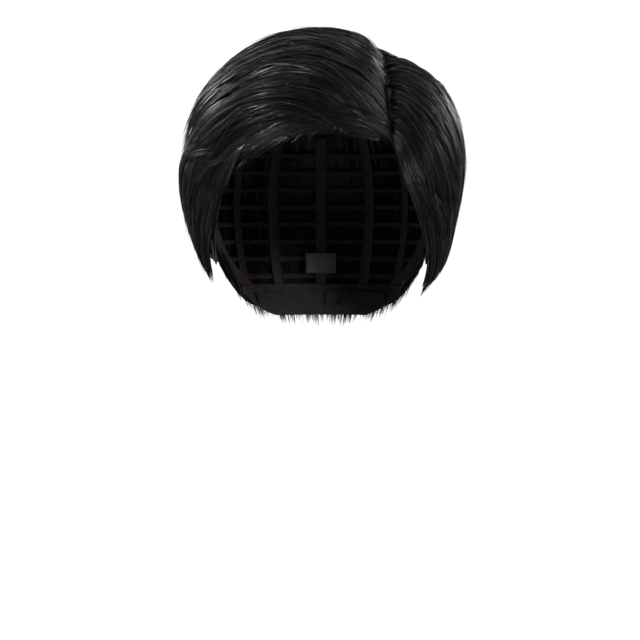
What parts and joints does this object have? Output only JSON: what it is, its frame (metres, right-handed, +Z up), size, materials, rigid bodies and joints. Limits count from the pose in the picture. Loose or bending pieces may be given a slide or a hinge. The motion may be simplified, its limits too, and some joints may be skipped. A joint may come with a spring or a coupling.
{
  "type": "costume wig",
  "caption": "Short straight costume wig with a left side part, swept fringe and sideburns, on an open wefted cap with bendable ear tabs and elastic nape adjusters.",
  "frame": {"origin": "middle of the head opening, level with the widest ring of the wearer's head", "axes": "+Z up through the crown, -Y the way the wearer faces, +X to the wearer's left"},
  "size_m": [0.194, 0.2144, 0.2015],
  "materials": {
    "hair": "fine straight synthetic fibre, near black with a soft silky shine",
    "weft": "sewn machine weft, black fibre and thread",
    "lace_tape": "elastic lace tape, near black",
    "stretch_net": "open stretch net, near black",
    "fine_lace": "fine hairline lace, dark brown",
    "cap_lining": "brushed nylon lining, near black",
    "part_skin": "smooth parting patch, skin tone",
    "elastic": "woven black elastic",
    "hook_tape": "moulded hook tape, black",
    "loop_tape": "brushed loop tape, black",
    "stay_wire": "flat soft steel stay",
    "label": "blank woven label, charcoal"
  },
  "bodies": {
    "root": {"adjuster_strap_left": "elastic", "adjuster_strap_right": "elastic", "back_tape_1": "lace_tape", "back_tape_2": "lace_tape", "back_tape_3": "lace_tape", "back_tape_4": "lace_tape", "back_tape_5": "lace_tape", "crown_net": "stretch_net", "crown_track_1": "weft", "crown_track_2": "weft", "crown_track_3": "weft", "crown_track_4": "weft", "crown_track_5": "weft", "crown_track_6": "weft", "crown_track_7": "weft", "forehead_band": "cap_lining", "front_lace": "fine_lace", "hair_back": "hair", "hair_crown": "hair", "hair_fringe": "hair", "hair_left_side": "hair", "hair_nape": "hair", "hair_right_side": "hair", "hair_top": "hair", "loop_tape_left": "loop_tape", "loop_tape_right": "loop_tape", "nape_band": "cap_lining", "nape_track_1": "weft", "nape_track_2": "weft", "part_patch": "part_skin", "side_band_left": "cap_lining", "side_band_right": "cap_lining", "side_net_left": "stretch_net", "side_net_right": "stretch_net", "size_label": "label", "weft_track_1": "weft", "weft_track_2": "weft", "weft_track_3": "weft", "weft_track_4": "weft", "weft_track_5": "weft", "weft_track_6": "weft", "weft_track_7": "weft", "weft_track_8": "weft"},
    "ear_left": {"ear_stay_left": "stay_wire", "ear_tab_left": "cap_lining", "sideburn_left": "hair"},
    "ear_right": {"ear_stay_right": "stay_wire", "ear_tab_right": "cap_lining", "sideburn_right": "hair"},
    "adjuster_left": {"adjuster_pad_left": "hook_tape"},
    "adjuster_right": {"adjuster_pad_right": "hook_tape"}
  },
  "joints": [
    {"name": "ear_tab_bend_left", "type": "hinge", "parent": "root", "child": "ear_left", "pos_m": [0.0735, -0.0215, -0.024], "axis": [0, -1, 0], "range_deg": [-6, 15]},
    {"name": "ear_tab_bend_right", "type": "hinge", "parent": "root", "child": "ear_right", "pos_m": [-0.0735, -0.0215, -0.024], "axis": [0, 1, 0], "range_deg": [-6, 15]},
    {"name": "adjuster_slide_left", "type": "hinge", "parent": "root", "child": "adjuster_left", "pos_m": [0, 0.024, -0.067], "axis": [0, 0, 1], "range_deg": [-8, 10], "deforming": ["adjuster_strap_left"]},
    {"name": "adjuster_slide_right", "type": "hinge", "parent": "root", "child": "adjuster_right", "pos_m": [0, 0.024, -0.067], "axis": [0, 0, -1], "range_deg": [-8, 10], "deforming": ["adjuster_strap_right"]}
  ]
}
